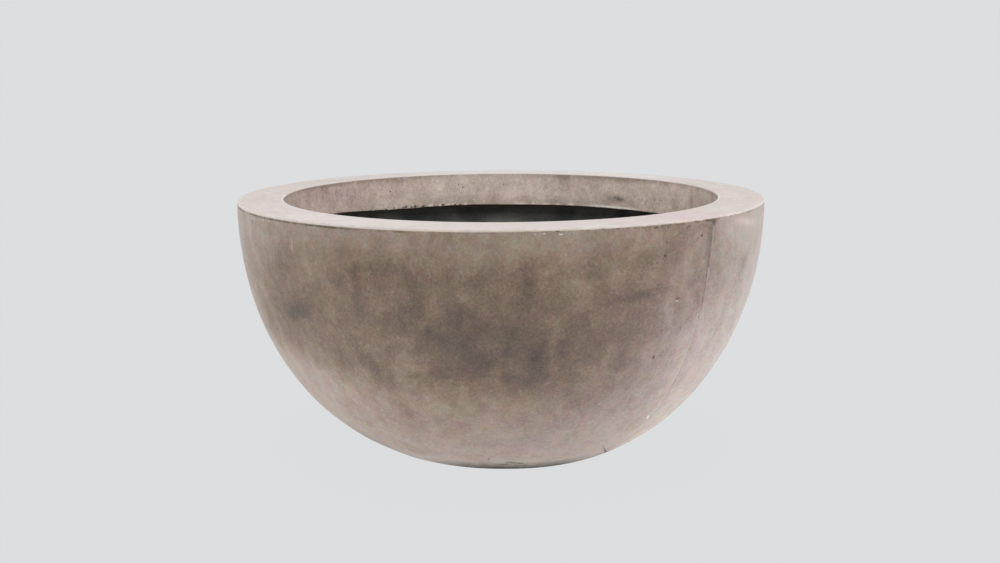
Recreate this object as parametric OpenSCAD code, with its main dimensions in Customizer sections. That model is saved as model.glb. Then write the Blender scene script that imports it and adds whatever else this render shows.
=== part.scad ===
// Round concrete planter with a flat rim turned in over a hollow bowl.
// A fibre-concrete shell stands on four pads. A rim with a hanging lip is bonded on top,
// a black waterproof lining covers the inside, and a sleeve in the floor takes a drain plug.
// The origin is at the centre of the floor that the planter stands on, with +Z up.

/* [Bowl] */
// Outer diameter at the rim
rim_d = 600; // [520:2:720]
// Height of the bowl without its pads
bowl_h = 280; // [240:1:340]
// Diameter of the base, measured to the corner before it is rounded
base_d = 316; // [260:2:400]
// Fullness of the wall's curve, where 2 is an ellipse and more is squarer
wall_fullness = 2.16; // [2:0.01:2.6]
// Thickness of the concrete wall
wall_t = 12; // [9:0.5:16]
// Thickness of the concrete floor
floor_t = 16; // [12:0.5:24]
// Rounding of the edge between wall and base
base_edge_r = 8; // [3:0.5:12]

/* [Rim] */
// Width of the flat rim
rim_w = 51; // [42:1:70]
// Thickness of the rim plate
rim_t = 14; // [10:0.5:20]
// Height of the rim's outer edge, above its joint with the wall
rim_edge_h = 5; // [3:0.5:8]
// Drop of the inner lip, from the top face to its lower edge
lip_drop = 43; // [32:1:60]
// Thickness of the inner lip
lip_t = 12; // [8:0.5:16]
// Rounding of the outer arris
outer_arris_r = 2; // [0.5:0.5:3]
// Rounding of the inner arris
inner_arris_r = 1.5; // [0.5:0.5:3]
// Bond line between the rim plate's spigot and the wall
bond_gap = 0.5; // [0.4:0.1:1]

/* [Lining] */
// Thickness of the waterproof lining
lining_t = 3; // [1.5:0.5:5]

/* [Drain] */
// Bore of the drain sleeve
drain_bore_d = 28; // [20:1:40]
// Wall of the drain sleeve
sleeve_wall_t = 3; // [2:0.5:5]
// Clearance round the sleeve in the floor
sleeve_gap = 0.2; // [0.1:0.1:0.5]
// Width of the sleeve's flange beyond its tube
sleeve_flange_w = 9; // [6:0.5:16]
// Thickness of the sleeve's flange
sleeve_flange_t = 2.5; // [1.5:0.5:4]

/* [Plug] */
// Clearance round the plug's shank in the sleeve
plug_gap = 0.08; // [0.03:0.01:0.1]
// Length of the plug's shank below its head
plug_shank_l = 14; // [10:0.5:17]
// Length of the tapered lead at the shank's lower end
plug_lead_l = 4; // [2:0.5:6]
// Width that the lead takes off the shank's radius
plug_lead_w = 1.5; // [0.5:0.5:3]
// Width of the plug's head beyond the bore
plug_head_w = 5.5; // [3:0.5:6]
// Thickness of the plug's head
plug_head_t = 4; // [3:0.5:6]
// Rounding of the head's upper edge
plug_head_edge_r = 1.5; // [0.5:0.5:2.5]
// Width of the finger grip
grip_w = 24; // [18:1:28]
// Thickness of the finger grip
grip_t = 6; // [4:0.5:9]
// Height of the finger grip above the head
grip_h = 16; // [14:1:24]

/* [Pads] */
// Diameter of a pad where it meets the base
pad_d = 32; // [24:1:40]
// Height of a pad
pad_h = 4; // [2:0.5:8]
// Width that the pad's draft takes off its radius at the floor
pad_draft_w = 1; // [0.5:0.5:2]
// Diameter of the circle that the pads stand on
pad_circle_d = 230; // [180:2:236]

/* [Hidden] */

// Facets of a full turn, straight steps of the wall's curve and steps of an edge's rounding
$fn = 144;
wall_steps = 24;
edge_steps = 6;
// Overlap that lets two shapes of one solid merge
merge = 0.5;
pad_count = 4;

rim_r = rim_d / 2;
base_r = base_d / 2;
opening_r = rim_r - rim_w;
lip_back_r = opening_r + lip_t;
bore_r = drain_bore_d / 2;
sleeve_r = bore_r + sleeve_wall_t;
drain_hole_r = sleeve_r + sleeve_gap;

// Heights above the floor that the planter stands on
base_z = pad_h;
floor_z = base_z + floor_t;
lined_floor_z = floor_z + lining_t;
plug_seat_z = lined_floor_z + sleeve_flange_t;
top_z = base_z + bowl_h;
joint_z = top_z - rim_edge_h;
rim_under_z = top_z - rim_t;
lip_low_z = top_z - lip_drop;

// The wall is a superellipse from the joint under the rim, where it is upright, to the base.
// This is the depth at which that curve would close on the axis.
curve_depth = (joint_z - base_z) / pow(1 - pow(base_r / rim_r, wall_fullness), 1 / wall_fullness);

// Direction out of the wall at curve angle t, as [radius, height]
function wall_out(t) =
    let (side = pow(cos(t), 2 - 2 / wall_fullness) / rim_r,
         down = pow(sin(t), 2 - 2 / wall_fullness) / curve_depth)
    [side, -down] / norm([side, down]);

// Point of the wall's curve at angle t, moved into the wall by inset
function wall_point(t, inset) =
    [rim_r * pow(cos(t), 2 / wall_fullness),
     joint_z - curve_depth * pow(sin(t), 2 / wall_fullness)] - inset * wall_out(t);

// Curve angle at which the inset curve comes down to height z, by halving
function wall_angle(inset, z, low = 0, high = 90, halvings = 40) =
    let (middle = (low + high) / 2)
    halvings == 0 ? middle
    : wall_point(middle, inset)[1] > z ? wall_angle(inset, z, middle, high, halvings - 1)
    : wall_angle(inset, z, low, middle, halvings - 1);

// The inset curve from the joint down to curve angle t_end
function wall_curve(inset, t_end) =
    [for (i = [0 : wall_steps]) wall_point(t_end * i / wall_steps, inset)];

// Arc of an edge's rounding, between two directions in degrees
function edge_arc(centre, r, from, to) =
    [for (i = [0 : edge_steps])
        let (a = from + (to - from) * i / edge_steps) centre + r * [cos(a), sin(a)]];

// Half section of everything inside the outer wall
module outer_area() {
    t_edge = wall_angle(base_edge_r, base_z + base_edge_r);
    out = wall_out(t_edge);
    edge_centre = wall_point(t_edge, base_edge_r);
    edge = edge_arc(edge_centre, base_edge_r, atan2(out[1], out[0]), -90);
    below = [for (i = [1 : edge_steps]) edge[i]];
    polygon(concat([[0, joint_z]], wall_curve(0, t_edge), below, [[0, base_z]]));
}

// Half section of the space inside a wall of the given thickness, from a floor to a ceiling
module inner_area(inset, low_z, high_z) {
    intersection() {
        polygon(concat([[0, joint_z]], wall_curve(inset, wall_angle(inset, low_z)),
                       [[0, low_z]]));
        translate([0, low_z])
            square([rim_r, high_z - low_z]);
    }
}

// Half section of a bore through the floor
module floor_bore_area(r) {
    translate([0, base_z - merge])
        square([r, floor_t + lining_t + 2 * merge]);
}

module bowl_shell() {
    color("#8f857c")
        rotate_extrude()
            difference() {
                outer_area();
                inner_area(wall_t, floor_z, joint_z);
                floor_bore_area(drain_hole_r);
            }
}

module rim_collar() {
    outer_edge = edge_arc([rim_r - outer_arris_r, top_z - outer_arris_r], outer_arris_r, 0, 90);
    inner_edge = edge_arc([opening_r + inner_arris_r, top_z - inner_arris_r],
                          inner_arris_r, 90, 180);
    spigot_r = rim_r - wall_t - bond_gap;
    color("#cdc3bd")
        rotate_extrude()
            polygon(concat([[rim_r, joint_z]], outer_edge, inner_edge,
                           [[opening_r, lip_low_z], [lip_back_r, lip_low_z],
                            [lip_back_r, rim_under_z], [spigot_r, rim_under_z],
                            [spigot_r, joint_z]]));
}

module inner_lining() {
    color("#1f201f")
        rotate_extrude()
            difference() {
                inner_area(wall_t, floor_z, rim_under_z);
                // The room left inside, short of the strip that covers the back of the lip
                difference() {
                    inner_area(wall_t + lining_t, lined_floor_z, rim_under_z - lining_t);
                    translate([lip_back_r, lip_low_z])
                        square([lining_t, lip_drop - rim_t]);
                }
                // The mouth and the lip itself
                translate([0, lip_low_z])
                    square([lip_back_r, lip_drop - rim_t + merge]);
                floor_bore_area(drain_hole_r);
            }
}

module drain_sleeve() {
    flange_r = sleeve_r + sleeve_flange_w;
    color("#2b2c2d")
        rotate_extrude()
            polygon([[bore_r, base_z], [sleeve_r, base_z], [sleeve_r, lined_floor_z],
                     [flange_r, lined_floor_z], [flange_r, plug_seat_z], [bore_r, plug_seat_z]]);
}

module drain_plug() {
    shank_r = bore_r - plug_gap;
    head_r = bore_r + plug_head_w;
    head_z = plug_seat_z + plug_head_t;
    shank_low_z = plug_seat_z - plug_shank_l;
    grip_round_r = grip_w / 2;
    head_edge = edge_arc([head_r - plug_head_edge_r, head_z - plug_head_edge_r],
                         plug_head_edge_r, 0, 90);
    grip_top = edge_arc([0, grip_h - grip_round_r], grip_round_r, 0, 180);
    color("#3a3a3b") {
        rotate_extrude()
            polygon(concat([[0, shank_low_z], [shank_r - plug_lead_w, shank_low_z],
                            [shank_r, shank_low_z + plug_lead_l], [shank_r, plug_seat_z],
                            [head_r, plug_seat_z]],
                           head_edge, [[0, head_z]]));
        translate([0, 0, head_z])
            rotate([90, 0, 0])
                linear_extrude(grip_t, center = true)
                    polygon(concat([[-grip_round_r, -merge], [grip_round_r, -merge]],
                                   grip_top));
    }
}

module foot_pad(index) {
    color("#343536")
        rotate((index - 0.5) * 360 / pad_count)
            translate([pad_circle_d / 2, 0, 0])
                cylinder(h = pad_h, r1 = pad_d / 2 - pad_draft_w, r2 = pad_d / 2);
}

bowl_shell();
rim_collar();
inner_lining();
drain_sleeve();
drain_plug();
foot_pad(1);  // foot_pad_1
foot_pad(2);  // foot_pad_2
foot_pad(3);  // foot_pad_3
foot_pad(4);  // foot_pad_4
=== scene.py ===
import math

import bpy
import numpy as np
from mathutils import Matrix, Vector


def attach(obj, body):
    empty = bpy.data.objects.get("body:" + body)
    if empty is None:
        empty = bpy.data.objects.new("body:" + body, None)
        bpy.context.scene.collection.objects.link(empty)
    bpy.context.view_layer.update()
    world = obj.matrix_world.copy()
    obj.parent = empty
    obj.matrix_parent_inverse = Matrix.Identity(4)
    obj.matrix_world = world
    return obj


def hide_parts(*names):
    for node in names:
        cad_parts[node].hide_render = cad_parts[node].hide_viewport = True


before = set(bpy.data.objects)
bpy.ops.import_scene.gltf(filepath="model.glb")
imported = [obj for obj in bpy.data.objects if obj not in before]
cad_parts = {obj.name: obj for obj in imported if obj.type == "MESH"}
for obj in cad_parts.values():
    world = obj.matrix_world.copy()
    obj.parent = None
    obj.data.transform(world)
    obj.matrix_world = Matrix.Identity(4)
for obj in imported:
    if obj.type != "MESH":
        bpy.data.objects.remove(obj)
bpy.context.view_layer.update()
print("frame loaded:", ", ".join(sorted(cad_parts)))

# Lengths are in metres and angles round the bowl in degrees, 0 at the front and growing to the
# viewer's right. A table's marks are placed in millimetres.


def linearOf(hexColour):
    # sRGB to linear light: a straight line up to 0.04045, a power of 2.4 above it
    parts = np.array([int(hexColour[i:i + 2], 16) for i in (1, 3, 5)]) / 255
    light = np.where(parts <= 0.04045, parts / 12.92, ((parts + 0.055) / 1.055) ** 2.4)
    return (*light.tolist(), 1.0)


def fill(tree, node, inputs):
    # gives a node's inputs, by name or in order, a value, a hex colour turned linear or another node's output
    for name, value in inputs.items() if isinstance(inputs, dict) else enumerate(inputs):
        if isinstance(value, bpy.types.NodeSocket):
            tree.links.new(value, node.inputs[name])
        else:
            node.inputs[name].default_value = linearOf(value) if isinstance(value, str) else value


def addNode(tree, kind, settings=None, inputs=None, output=0, stops=()):
    # adds a shader node with its properties or just its operation, its inputs and the rising stops of its
    # ramp, and gives back one of its outputs
    node = tree.nodes.new("ShaderNode" + kind)
    if isinstance(settings, str):
        settings = {"operation": settings}
    for name, value in (settings or {}).items():
        setattr(node, name, value)
    fill(tree, node, inputs or {})
    for i, (place, colour) in enumerate(stops):
        stop = node.color_ramp.elements[i] if i < 2 else node.color_ramp.elements.new(place)
        stop.position = place
        stop.color = linearOf(colour)
    return node.outputs[output]


def bell(offset, reach, power=2):
    # 1 in the middle and falling off as exp(-(offset / reach)^power), with a flat top at a power of 4
    return np.exp(-(offset / reach) ** power)


def climb(value, start, span, least=0):
    # straight slope from 0 at the start to 1 a span further on, level outside it; a negative span falls
    return np.clip((value - start) / span, least, 1)


def gathered(start, end, step, spots=(), fineStep=0.0004, reach=0.0016, keep=(), dense=(0, math.inf, 1)):
    # places from start to end, step apart and down to fineStep near each spot:
    # a density of 1/step plus a bell at each spot is summed up, and equal shares of the sum are taken.
    # Dense is one wide bell: its middle, its extra step and its reach
    line = np.linspace(start, end, 40001)
    density = 1 / step + np.exp(-((line - dense[0]) / dense[2]) ** 2) / dense[1]
    for spot in spots:
        density += np.exp(-((line - spot) / reach) ** 2) / fineStep
    total = np.concatenate([[0], np.cumsum((density[1:] + density[:-1]) / 2 * np.diff(line))])
    places = np.interp(np.linspace(0, total[-1], int(np.ceil(total[-1])) + 1), total, line)
    return np.union1d(places, keep)


def arc(centre, radius, fromDegrees, toDegrees, count=9):
    # points on a circle about centre, from one angle to the other
    angle = np.radians(np.linspace(fromDegrees, toDegrees, count))
    return np.stack([centre[0] + radius * np.cos(angle), centre[1] + radius * np.sin(angle)], 1)


def along(points, places):
    # points of a polyline at the given distances along it
    steps = np.hypot(*np.diff(points, axis=0).T)
    length = np.concatenate([[0], np.cumsum(steps)])
    return np.stack([np.interp(places, length, points[:, k]) for k in (0, 1)], 1)


def allRound(count):
    # count angles, evenly spaced from -180 degrees on
    return np.linspace(-180, 180, count, endpoint=False)


def lengthOf(points):
    # length of a polyline
    return float(np.hypot(*np.diff(points, axis=0).T).sum())


def sampled(parts):
    # rows of a closed section: each line of it is divided evenly at about its own step, without its last
    # point, and the number of its line stands beside each row
    parts = [(np.array(line), step) for line, step in parts]
    places = [gathered(0, lengthOf(line), step)[:-1] for line, step in parts]
    rows = np.concatenate([along(line, place) for (line, step), place in zip(parts, places)])
    return rows, np.repeat(np.arange(len(parts)), [place.size for place in places])


def turned(profile, azimuth):
    # surface of revolution, rows x columns x 3: (r sin a, -r cos a, z) for each (r, z) of the profile
    # and each angle a from the front
    radius, height = profile[:, :1], profile[:, 1:]
    angle = np.radians(azimuth)[None, :]
    return np.stack([radius * np.sin(angle), -radius * np.cos(angle), height + 0 * angle], 2)


def outwards(points):
    # unit normals of a closed grid: the cross product of the steps to its neighbours, turned so that
    # position times normal sums to a positive volume
    down = np.roll(points, -1, 0) - np.roll(points, 1, 0)
    across = np.roll(points, -1, 1) - np.roll(points, 1, 1)
    normal = np.cross(down, across)
    normal *= np.sign((points * normal).sum())
    return normal / np.maximum(np.linalg.norm(normal, axis=2, keepdims=True), 1e-12)


def gridPiece(name, points, marks=None, poles=None, sharp=40):
    # closed mesh of a rows x columns grid: neighbours make quads, the columns wrap round, and the rows wrap
    # too unless two pole points close the ends with fans; a negative volume turns every face over
    rows, columns = points.shape[:2]
    index = np.arange(rows * columns).reshape(rows, columns)
    upper = index if poles is None else index[:-1]
    lower = np.roll(index, -1, 0) if poles is None else index[1:]
    quads = np.stack([upper, lower, np.roll(lower, -1, 1), np.roll(upper, -1, 1)], 2).reshape(-1, 4)
    vertices = points.reshape(-1, 3)
    fans = np.zeros((0, 3), int)
    if poles is not None:
        first, last = index[0], index[-1]
        one, two = np.full(columns, len(vertices)), np.full(columns, len(vertices) + 1)
        fans = np.concatenate([np.stack([one, first, np.roll(first, -1)], 1),
                               np.stack([two, np.roll(last, -1), last], 1)])
        vertices = np.concatenate([vertices, np.array(poles, float)])
    triangles = np.concatenate([quads[:, [0, 1, 2]], quads[:, [0, 2, 3]], fans])
    corners = vertices[triangles]
    volume = np.einsum("ij,ij->i", corners[:, 0], np.cross(corners[:, 1], corners[:, 2])).sum()
    if volume < 0:
        quads, fans = quads[:, ::-1], fans[:, ::-1]
    mesh = bpy.data.meshes.new(name)
    mesh.vertices.add(len(vertices))
    mesh.vertices.foreach_set("co", vertices.astype(np.float32).ravel())
    loops = np.concatenate([quads.ravel(), fans.ravel()]).astype(np.int32)
    sizes = np.concatenate([np.full(len(quads), 4), np.full(len(fans), 3)])
    mesh.loops.add(len(loops))
    mesh.loops.foreach_set("vertex_index", loops)
    mesh.polygons.add(len(sizes))
    mesh.polygons.foreach_set("loop_start", (np.cumsum(sizes) - sizes).astype(np.int32))
    mesh.polygons.foreach_set("use_smooth", np.ones(len(sizes), bool))
    for mark, values in (marks or {}).items():
        field = np.broadcast_to(values, (rows, columns)).reshape(-1)
        field = np.concatenate([field, np.zeros(len(vertices) - field.size)])
        mesh.attributes.new(mark, "FLOAT", "POINT").data.foreach_set("value", field.astype(np.float32))
    mesh.update(calc_edges=True)
    mesh.validate()
    mesh.set_sharp_from_angle(angle=math.radians(sharp))
    piece = bpy.data.objects.new(name, mesh)
    bpy.context.scene.collection.objects.link(piece)
    print(f"{name}: {len(triangles)} triangles")
    return piece


def fitPiece(piece, body, node, material):
    # puts a finished piece in place of its CAD node, on its body, with its slot and material
    piece.data.materials.append(material)
    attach(piece, body)
    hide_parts(node)


def away(azimuth, spot):
    # shortest turn from the spot to each angle, in degrees
    return (azimuth - spot + 180) % 360 - 180


def waves(azimuth, height, seed, count, longest):
    # unevenness of about -1 to 1: the sum of cosines of seeded direction and phase, with whole numbers
    # of waves round the bowl, divided by the root of their count
    rng = np.random.default_rng(seed)
    most = max(2, int(2 * math.pi * bowl["rimRadius"] / longest))
    turns = rng.integers(1, most, count)
    rise = rng.uniform(-1, 1, count) * 2 * math.pi / longest
    phase = rng.uniform(0, 2 * math.pi, count)
    angle = np.radians(azimuth)
    each = (np.cos(angle * turns[k] + height * rise[k] + phase[k]) for k in range(count))
    return sum(each) / math.sqrt(count)


def lumps(points, seed, count, longest):
    # unevenness of about -1 to 1 in space, the same on a wall and on a floor: the sum of cosines
    # of seeded direction and phase, divided by the root of their count
    rng = np.random.default_rng(seed)
    direction = rng.normal(size=(count, 3))
    direction = direction / np.linalg.norm(direction, axis=1, keepdims=True)
    rise = rng.uniform(0.4, 1, count) * 2 * math.pi / longest
    phase = rng.uniform(0, 2 * math.pi, count)
    return sum(np.cos(points @ direction[k] * rise[k] + phase[k]) for k in range(count)) / math.sqrt(count)


def clouds(azimuth, height, spots, power=1):
    # sum of soft ovals: each has its angle, height, half width and half height in millimetres, strength in
    # hundredths and, where it isn't level, tilt. It fades from its middle as exp(-(squared distance)^power),
    # so a power of 2 makes a flat top
    total = 0 * azimuth * height
    for angle, level, wide, tall, strength, *tilt in spots:
        x = np.radians(away(azimuth, angle)) * bowl["rimRadius"] * 1000
        y = height * 1000 - level
        turn = math.radians(sum(tilt))
        u = (x * math.cos(turn) + y * math.sin(turn)) / wide
        v = (y * math.cos(turn) - x * math.sin(turn)) / tall
        total = total + strength / 100 * np.exp(-(u * u + v * v) ** power)
    return total


def scattered(seed, count, angles, levels, widths, heights, strengths):
    # seeded ovals over a stretch of the wall, for the sides that the photograph doesn't show:
    # each value is drawn evenly between its limits
    rng = np.random.default_rng(seed)
    spans = (angles, levels, widths, heights, (-35, 35), strengths)
    drawn = [[rng.uniform(*span) for span in spans] for _ in range(count)]
    return [(*oval[:4], oval[5], oval[4]) for oval in drawn]


bowl = {
    "rimRadius": 0.300,
    "baseRadius": 0.158,
    "jointHeight": 0.279,
    "baseHeight": 0.004,
    "floorHeight": 0.020,
    "fullness": 2.16,
    "wall": 0.012,
    "baseEdge": 0.008,
    "drainHole": 0.0172,
    "seams": (42.8, 222.8),      # the two mould halves meet here
    "seamFade": (0.150, 0.09),   # from here up, over this height, its dark line gives way to a brown band
    "groove": 0.00026,           # depth of the seam
    "unevenness": 0.00022,       # of the outer wall
    # how far the cast wall stands to the viewer's right of the rim's centre: height and offset
    "lean": [
        (0.004, 0.0018), (0.012, 0.0018), (0.03, 0.0014), (0.06, 0.0001), (0.1, -0.0004), (0.16, -0.0001),
        (0.2, -0.0002), (0.25, -0.0002), (0.268, 0),
    ],
    # the painted contact shade and dirt at the foot: its height, and angle, half width in degrees and further
    # height where it reaches higher
    "footShadeAndDirtLine": 0.0178,
    "footShadeAndDirtRises": [(-8, 20, 0.0052), (22, 10, 0.0024)],
    # the brown wash, broad and flat: angle, height, half width and half height in mm, strength, tilt
    "washes": [
        (-14, 206, 268, 80, 46, -1), (31, 234, 106, 66, 14), (52, 236, 62, 50, 10), (-46, 172, 94, 44, 12),
        (152, 214, 210, 70, 42, 4), (-132, 204, 190, 66, 40, -4), (-96, 236, 70, 44, 16),
    ],
    # its deep middle, the thin skirt below it and the darker clouds in it
    "stains": [
        (1, 172, 105, 50, 15), (-2, 112, 215, 58, 24), (24, 266, 120, 22, 5), (-58, 150, 34, 24, 13),
        (-50, 190, 52, 9, 12), (-52, 272, 30, 9, 13), (-55, 214, 18, 16, 8), (-21, 231, 24, 12, 12),
        (-17, 214, 12, 10, 7), (-1.5, 192, 10, 20, 13), (-9, 130, 9, 8, 9), (6, 131, 16, 9, 11),
        (-5, 103, 20, 10, 8), (28, 140, 62, 30, 12), (30, 104, 58, 32, 8), (17, 150, 7, 7, 6),
        (24.5, 137, 9, 10, 10), (31, 98, 11, 11, 6), (28, 215, 32, 7, 9, 5), (37, 200, 9, 15, 11),
        (40, 240, 8, 13, 9), (35, 253, 20, 9, 8), (23, 252, 9, 7, 8), (-33, 105, 22, 11, 8),
        (-33, 78, 18, 15, 8), (-44, 68, 18, 13, 5), (38, 60, 22, 22, 7), (6, 74, 22, 11, 5),
        (-8, 88, 240, 44, 5), (60, 50, 50, 32, 10), (-57, 170, 14, 14, 5), (-42.5, 193, 15, 10, 16, 30),
        (-47, 180, 12, 7, 10), (-40, 181, 5, 12, 8), (-51, 184, 18, 9, 6, 20), (-50, 170, 30, 14, 5),
        (-57, 166, 18, 22, 7), (-60, 205, 14, 22, 6), (-48, 152, 12, 9, 10), (-48, 238, 15, 9, 9),
        (-53, 230, 10, 9, 6), (-35, 142, 9, 14, 10), (-30.5, 222, 4, 12, 10), (-36, 218, 4, 12, 8),
        (-31, 200, 5, 8, 7), (-31.5, 190, 7, 5, 7), (-37, 206, 9, 9, 5), (-27.4, 237, 5, 9, 22),
        (-27.1, 219, 4.5, 14, 22, -8), (-26.2, 205, 3.5, 10, 12, -10), (-24.5, 247, 9, 6, 13, 20),
        (-20.5, 247, 15, 9, 19, 15), (-17, 244, 10, 9, 9), (-28, 255, 7, 8, 8), (-15.5, 228, 8, 17, 13),
        (-16.5, 210, 9, 14, 10), (-19, 200, 11, 9, 12), (-19, 189, 10, 9, 9), (-22.5, 192, 5, 14, 12, -10),
        (-9, 236, 11, 9, 11), (-5, 238, 7, 8, 16, -10), (-3.5, 230, 6, 7, 8), (-8, 203, 8, 16, 13, -10),
        (-5, 190, 9, 18, 10, -8), (-12.5, 188, 8, 9, 13, -10), (-11, 178, 8, 8, 15), (-15, 178, 9, 10, 8),
        (-4, 155, 16, 14, 12), (-8, 154, 9, 9, 12, 30), (-12, 143, 10, 9, 20, -20), (-5, 138, 7, 14, 12),
        (-14.5, 132, 5, 14, 12), (-9, 146, 8, 10, 6), (0.5, 138, 6, 12, 8), (-26, 140, 9, 12, 18, -20),
        (-23, 137, 6, 14, 15, -25), (-30, 151, 9, 5, 12), (-27.5, 152, 7, 6, 9), (-21.5, 129, 4, 8, 9, -20),
        (-29.5, 114, 5, 9, 8), (-23, 94, 12, 22, 12), (-35, 128, 8, 8, 6), (5, 243, 9, 12, 16),
        (4.8, 224, 8, 22, 12, 2), (1.5, 213, 6, 14, 5), (4.5, 204, 10, 16, 4), (8, 257, 7, 7, 8),
        (9, 224, 9, 9, 5), (17.6, 250, 8, 12, 8), (33, 253, 16, 11, 14), (32, 262, 10, 8, 7),
        (27, 253, 7, 10, 7), (32, 241, 10, 8, 7), (24.5, 234, 20, 12, 9), (24.5, 216, 30, 7, 14, 5),
        (26.5, 211.5, 13, 6, 11), (33, 217, 9, 6, 8), (39.5, 224, 7, 10, 10, 10), (41, 205, 9, 20, 8),
        (39, 240, 6, 9, 7), (46, 228, 9, 16, 10, -10), (51, 248, 15, 8, 7), (58, 226, 15, 14, 12),
        (57, 192, 18, 9, 8), (51, 180, 11, 10, 5), (52, 164, 10, 12, 7), (25, 176, 34, 10, 13),
        (24.5, 157, 7, 16, 12, -8), (12.5, 170, 7, 16, 13), (12, 159, 9, 9, 7), (8, 168, 10, 14, 8),
        (7, 157, 8, 9, 16), (6.8, 143, 8, 12, 15), (5, 125, 8, 9, 12), (9.5, 128, 8, 10, 8),
        (1.5, 183, 9, 8, 5), (16, 190, 11, 10, 7), (16, 201, 12, 9, 5), (19, 165, 7, 10, 6),
        (30, 128, 16, 10, 8), (24, 118, 15, 11, 8), (17, 104, 16, 12, 6), (36, 144, 14, 14, 8),
        (-31, 34, 18, 12, 14), (45, 110, 16, 30, 4), (64, 110, 50, 50, 9), (5, 235, 14, 14, 12),
        (15, 236, 9, 9, 8), (27, 252, 34, 8, 9), (29, 210, 24, 9, 6), (39, 270, 12, 8, 9),
        (-52, 210, 16, 12, 8), (-45, 185, 14, 10, 7), (-54, 140, 18, 14, 5), (6, 128, 12, 12, 7),
        (37.5, 185, 24, 26, 6), (-50, 270, 28, 8, 6), (-10, 195, 44, 34, 4), (56, 210, 60, 70, 5),
        (65, 50, 44, 32, 8), (20, 28, 50, 16, 5), (58, 150, 56, 120, 5), (-48, 182, 22, 7, 10),
        (-58, 136, 16, 10, 8), (-64, 142, 22, 18, 6), (-52, 226, 12, 14, 6), (-44, 108, 12, 9, 6),
        (-62, 250, 30, 18, 5), (2, 118, 9, 16, 8), (16, 252, 8, 8, 6), (-6, 278, 16, 4, 6),
        (-52, 277, 40, 4, 6), (38, 66, 16, 26, 5), (62, 100, 40, 50, 3), (-8, 52, 120, 18, 3),
        (-40, 190, 10, 8, 12), (-50, 230, 10, 9, 8), (50, 42, 50, 26, 10), (25, 150, 40, 12, 6),
        (10, 130, 10, 10, 6), (25, 250, 22, 8, 5), (30, 210, 12, 8, 5), (-25, 30, 30, 12, 5),
        (-5, 24, 110, 10, 8), (-60, 276, 30, 6, 5), (-40, 100, 60, 46, 4), (10, 125, 40, 25, 4),
        (30, 240, 16, 12, 6), (35, 160, 30, 14, 5), (-20, 210, 9, 8, 7), (0, 210, 8, 8, 5),
        (-20, 150, 9, 8, 6), (0, 170, 9, 8, 5), (-60, 130, 14, 12, 6), (0, 92, 14, 12, 4),
        (-20, 85, 12, 14, 5), (20, 60, 30, 16, 4), (-60, 50, 30, 20, 5), (40, 50, 14, 14, 5),
        (10, 110, 9, 9, 5), (0, 272, 8, 6, 6), (55, 268, 16, 8, 4), (50, 170, 12, 10, 4),
        (-28, 32, 12, 10, 5),
    ],
    # places where the wash was wiped thin again
    "wiped": [
        (-42, 270, 110, 10, 8), (-22.5, 213, 9, 9, 6), (-7, 222, 11, 5, 10), (-12.5, 213, 8, 9, 8),
        (-18.5, 164, 8, 20, 16, -35), (-17, 149, 15, 8, 12), (-21, 143, 6, 16, 12, -25),
        (-34, 172, 22, 14, 6), (-25, 163, 14, 10, 6), (-35, 240, 20, 12, 5), (10, 184, 6, 14, 14),
        (21.5, 160, 7, 14, 10), (16, 143, 9, 8, 6), (21, 203, 8, 12, 7), (8, 271, 22, 7, 8),
        (20.5, 240, 4, 9, 10), (12, 258, 10, 8, 5), (14, 226, 10, 8, 6), (40, 160, 13, 26, 12),
        (33.5, 186, 9, 18, 12), (31, 156, 13, 14, 7), (38, 232, 8, 8, 5), (44.6, 165, 4, 12, 10),
        (-40, 116, 60, 22, 8), (-4, 262, 26, 9, 7), (56, 268, 50, 10, 12), (-58, 120, 60, 30, 8),
        (-8, 170, 5, 6, 6), (14.5, 212, 15, 14, 17), (14, 234, 15, 12, 9), (14, 257, 20, 15, 13),
        (-10, 265, 9, 8, 11), (3, 229, 9, 11, 6), (7, 197, 15, 11, 8), (-28, 153, 15, 8, 7),
        (-42, 150, 20, 9, 4), (-14, 187, 7, 8, 6), (-42, 225, 15, 10, 5), (32, 191, 13, 8, 6, 20),
        (-16, 152, 8, 7, 4), (10, 171, 8, 8, 4), (-72, 160, 24, 120, 9), (31, 88, 10, 10, 6),
        (-6, 243, 13, 9, 8), (-3, 212, 8, 9, 6), (-13, 206, 9, 10, 5), (26.5, 219, 28, 2.6, 9, 3),
        (-46, 194, 8, 5, 6), (-37, 240, 12, 10, 4), (-30, 172, 16, 14, 4), (72, 250, 24, 40, 6),
        (-10, 190, 9, 9, 8), (-10, 150, 8, 8, 7), (0, 250, 8, 8, 6), (60, 195, 30, 30, 4),
    ],
    # how far the tint goes from brown to the lavender grey of the bare cement, and to a rosy brown
    "bare": [
        (96, 150, 292, 230, 110), (34, 140, 70, 60, 30), (16, 80, 110, 50, 30), (-78, 190, 60, 90, 50),
        (-130, 80, 200, 60, 60), (176, 80, 200, 60, 60),
    ],
    "rosy": [
        (42, 276, 40, 10, 100), (-10, 72, 270, 62, 55), (33, 190, 76, 80, 95), (28, 108, 60, 36, 30),
        (-45, 128, 90, 42, 20), (-60, 250, 50, 34, 40), (10, 132, 110, 34, 15), (150, 120, 300, 60, 50),
        (-120, 120, 160, 60, 40),
    ],
    # grime round the top of the seam, and the brown that has soaked in along its upper end
    "dirt": [
        (43.9, 278.6, 2.5, 3, 45), (38, 276, 16, 4, 16), (30, 279, 18, 2.2, 25), (-3, 7.5, 7, 2.5, 50),
    ],
    "soaked": [
        (43.9, 278.6, 3, 3.4, 75), (42.2, 281.2, 8, 1.5, 42, -8), (45.4, 281.6, 7, 1.4, 42, 10),
        (43.4, 268, 5, 12, 20), (40.5, 277, 10, 3, 20, -4), (35.5, 273, 22, 9, 14), (31, 279, 28, 4, 15),
        (38, 264, 12, 9, 6),
    ],
    # chalky bloom right of the seam under the rim
    "bloom": [
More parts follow.
